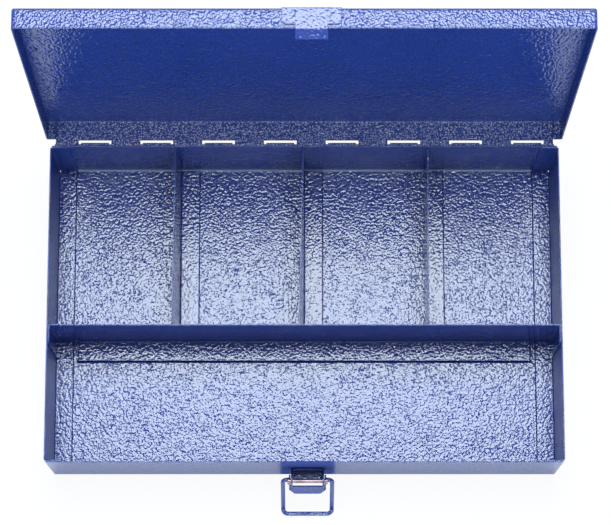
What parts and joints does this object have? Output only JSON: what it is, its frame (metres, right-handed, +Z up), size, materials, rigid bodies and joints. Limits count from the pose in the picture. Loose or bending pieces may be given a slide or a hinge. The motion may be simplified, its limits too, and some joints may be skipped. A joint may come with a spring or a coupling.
{
  "type": "drill bit case",
  "caption": "Folded sheet-steel bit case with a hinged lid, a long front compartment, short rear compartments and a wire-bail draw latch.",
  "frame": {"origin": "centre of the case's underside, on the table", "axes": "+X to the user's right along the front, +Y from the latch to the hinge, +Z up"},
  "size_m": [0.336, 0.2632, 0.2683],
  "materials": {
    "painted_case": "gloss blue hammer-finish enamel",
    "painted_lid": "gloss blue hammer-finish enamel",
    "painted_latch": "gloss blue enamel",
    "plated_steel": "bright zinc plate"
  },
  "bodies": {
    "case_base": {"base_shell": "painted_case", "left_end_plate": "painted_case", "right_end_plate": "painted_case", "long_divider": "painted_case", "cross_divider_left": "painted_case", "cross_divider_middle": "painted_case", "cross_divider_right": "painted_case", "hinge_strip": "painted_case", "hinge_pin": "plated_steel", "latch_bracket": "painted_latch", "lever_pin": "plated_steel"},
    "lid": {"lid_shell": "painted_lid", "catch_plate": "painted_lid"},
    "latch_lever": {"latch_lever": "painted_latch"},
    "bail": {"bail": "painted_latch"}
  },
  "joints": [
    {"name": "lid_hinge", "type": "hinge", "parent": "case_base", "child": "lid", "pos_m": [0, 0.1051, 0.057], "axis": [-1, 0, 0], "range_deg": [-93, 87]},
    {"name": "lever_pivot", "type": "hinge", "parent": "case_base", "child": "latch_lever", "pos_m": [0.002, -0.1128, 0.044], "axis": [-1, 0, 0], "range_deg": [0, 165]},
    {"name": "bail_pivot", "type": "hinge", "parent": "latch_lever", "child": "bail", "pos_m": [0.002, -0.1112, 0.0372], "axis": [1, 0, 0], "range_deg": [-162.06, 0]}
  ]
}
